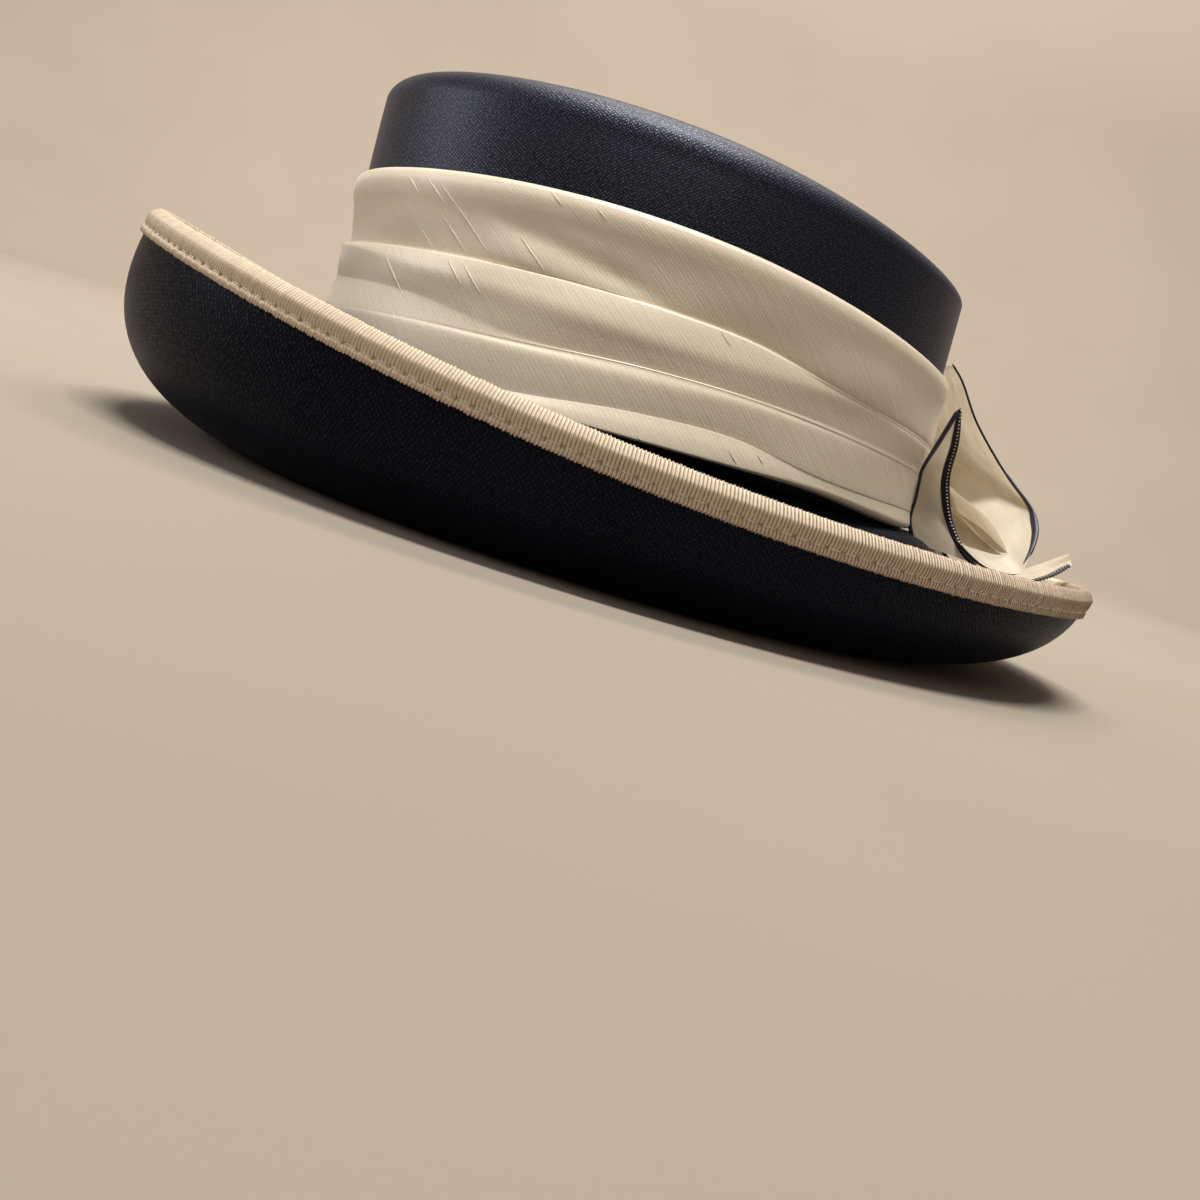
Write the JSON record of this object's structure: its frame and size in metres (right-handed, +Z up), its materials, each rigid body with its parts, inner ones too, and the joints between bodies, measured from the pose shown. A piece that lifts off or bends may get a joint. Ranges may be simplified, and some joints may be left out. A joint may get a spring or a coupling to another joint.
{
  "type": "boater hat with upturned brim",
  "caption": "Navy boater hat with an oval flat-topped crown, an upturned brim bound in cream ribbed ribbon, a draped cream band and a bow at the back.",
  "frame": {"origin": "middle of the ring that the brim stands on, at the height of the surface it rests on", "axes": "+Z up through the crown, -X to the front with the higher brim, +X to the bow at the back, -Y to the hat's side seen in the picture"},
  "size_m": [0.3317, 0.2882, 0.1299],
  "materials": {
    "navy_cloth": "satin",
    "cream_silk": "satin",
    "cream_ribbon": "matte",
    "navy_edging": "satin"
  },
  "bodies": {
    "root": {"crown": "navy_cloth", "brim": "navy_cloth", "rim_binding": "cream_ribbon", "band": "cream_silk", "bow_loop": "cream_silk", "bow_inner_loop": "cream_silk", "bow_tail_near": "cream_silk", "bow_tail_back": "cream_silk", "bow_loop_edging_near": "navy_edging", "bow_loop_edging_far": "navy_edging", "bow_tail_near_edging": "navy_edging", "bow_tail_back_edging": "navy_edging"}
  },
  "joints": []
}
